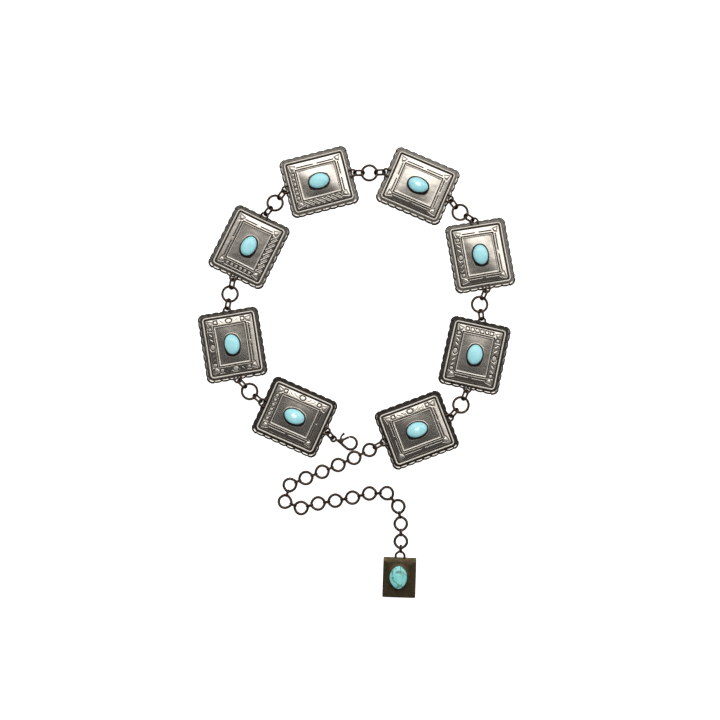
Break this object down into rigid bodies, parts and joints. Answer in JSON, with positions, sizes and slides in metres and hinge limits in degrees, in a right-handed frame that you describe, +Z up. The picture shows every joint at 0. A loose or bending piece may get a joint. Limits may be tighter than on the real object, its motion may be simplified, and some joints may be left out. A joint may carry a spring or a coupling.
{
  "type": "concho belt",
  "caption": "Belt of stamped rectangular silver conchos with turquoise stones, joined by wire rings, with a trigger clasp and an extension chain with a pendant",
  "frame": {"origin": "under the middle of the belt's bounding box, on the surface that it lies on", "axes": "+Z up from the surface, +Y towards the far side of the loop, away from the clasp and pendant; +X to the right as the belt is seen from the pendant's end"},
  "size_m": [0.283, 0.4046, 0.0086],
  "materials": {
    "antique_silver": "stamped silver-coloured metal, polished high spots and black oxidised recesses",
    "dark_wire": "dark brown oxidised round wire",
    "oxidised_plate": "dark brown oxidised metal with faint red and green mottling",
    "turquoise": "polished pale blue turquoise",
    "pendant_turquoise": "polished blue-green turquoise with darker veins"
  },
  "bodies": {
    "belt": {"concho_1": "antique_silver", "concho_2": "antique_silver", "concho_3": "antique_silver", "concho_4": "antique_silver", "concho_5": "antique_silver", "concho_6": "antique_silver", "concho_7": "antique_silver", "concho_8": "antique_silver", "stone_1": "turquoise", "stone_2": "turquoise", "stone_3": "turquoise", "stone_4": "turquoise", "stone_5": "turquoise", "stone_6": "turquoise", "stone_7": "turquoise", "stone_8": "turquoise", "ring_1": "dark_wire", "ring_2": "dark_wire", "ring_3": "dark_wire", "ring_4": "dark_wire", "ring_5": "dark_wire", "ring_6": "dark_wire", "ring_7": "dark_wire", "link_1a": "dark_wire", "link_1b": "dark_wire", "link_2a": "dark_wire", "link_2b": "dark_wire", "link_3a": "dark_wire", "link_3b": "dark_wire", "link_4a": "dark_wire", "link_4b": "dark_wire", "link_5a": "dark_wire", "link_5b": "dark_wire", "link_6a": "dark_wire", "link_6b": "dark_wire", "link_7a": "dark_wire", "link_7b": "dark_wire", "clasp_link": "dark_wire", "clasp_body": "dark_wire", "chain_start_link": "dark_wire", "extension_chain": "dark_wire", "pendant_link": "dark_wire", "pendant_plate": "oxidised_plate", "pendant_stone": "pendant_turquoise"},
    "gate": {"clasp_gate": "dark_wire"}
  },
  "joints": [
    {"name": "clasp_gate_hinge", "type": "hinge", "parent": "belt", "child": "gate", "pos_m": [-0.01384, -0.0643, 0.00271], "axis": [0, 0, -1], "range_deg": [0, 25], "stiffness_Nm_per_rad": 0.002}
  ]
}
